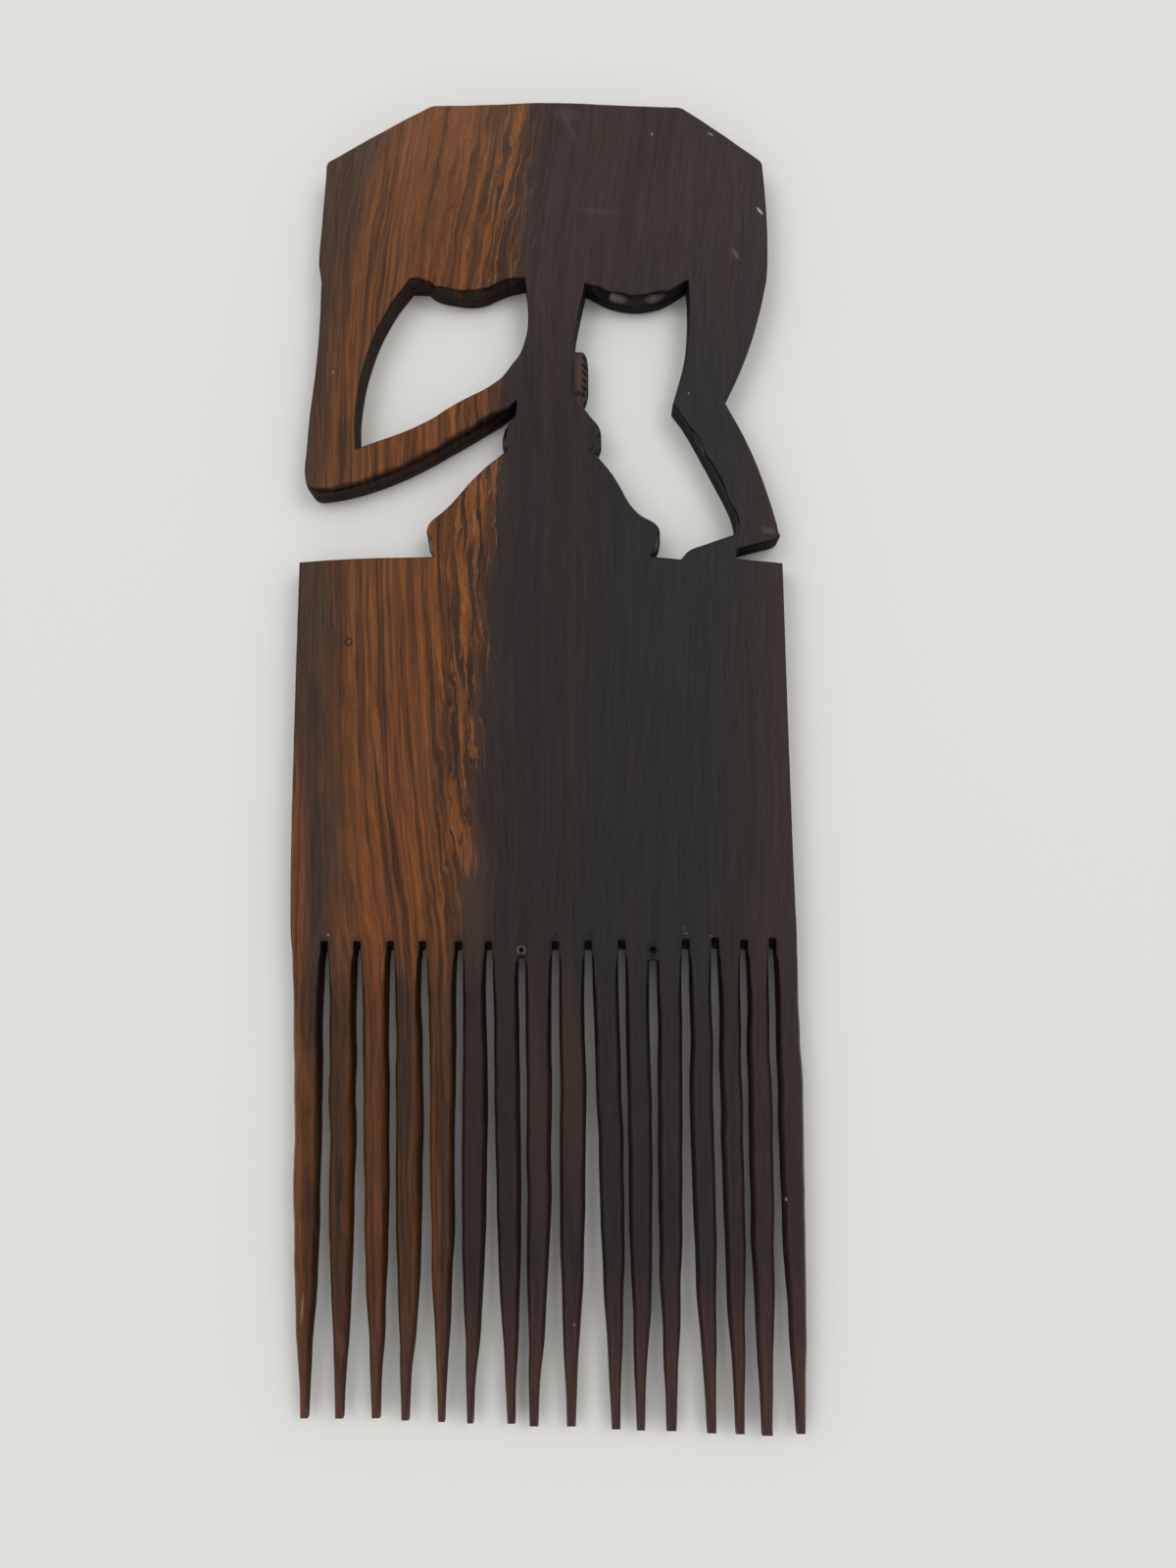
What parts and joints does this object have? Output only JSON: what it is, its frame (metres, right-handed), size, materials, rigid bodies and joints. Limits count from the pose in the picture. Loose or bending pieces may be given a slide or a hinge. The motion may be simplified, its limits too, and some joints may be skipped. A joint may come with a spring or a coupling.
{
  "type": "afro pick",
  "caption": "Flat afro pick carved from one hardwood board, with long slender teeth below a plain blade and an openwork figure as its handle.",
  "frame": {"origin": "middle of the comb's length and width, on the plane of its flat back face", "axes": "+X across the comb to the right seen from the front, +Y along it towards the handle, +Z out of the front face"},
  "size_m": [0.0835, 0.222, 0.0055],
  "materials": {
    "hardwood": "satin, waxed"
  },
  "bodies": {
    "root": {"crown_plate": "hardwood", "left_upper_arm": "hardwood", "left_forearm": "hardwood", "waist_column": "hardwood", "knuckle_ribs": "hardwood", "collar": "hardwood", "bell_skirt": "hardwood", "right_thigh": "hardwood", "right_shin": "hardwood", "foot": "hardwood", "blade": "hardwood", "tooth_01": "hardwood", "tooth_02": "hardwood", "tooth_03": "hardwood", "tooth_04": "hardwood", "tooth_05": "hardwood", "tooth_06": "hardwood", "tooth_07": "hardwood", "tooth_08": "hardwood", "tooth_09": "hardwood", "tooth_10": "hardwood", "tooth_11": "hardwood", "tooth_12": "hardwood", "tooth_13": "hardwood", "tooth_14": "hardwood", "tooth_15": "hardwood", "tooth_16": "hardwood"}
  },
  "joints": []
}
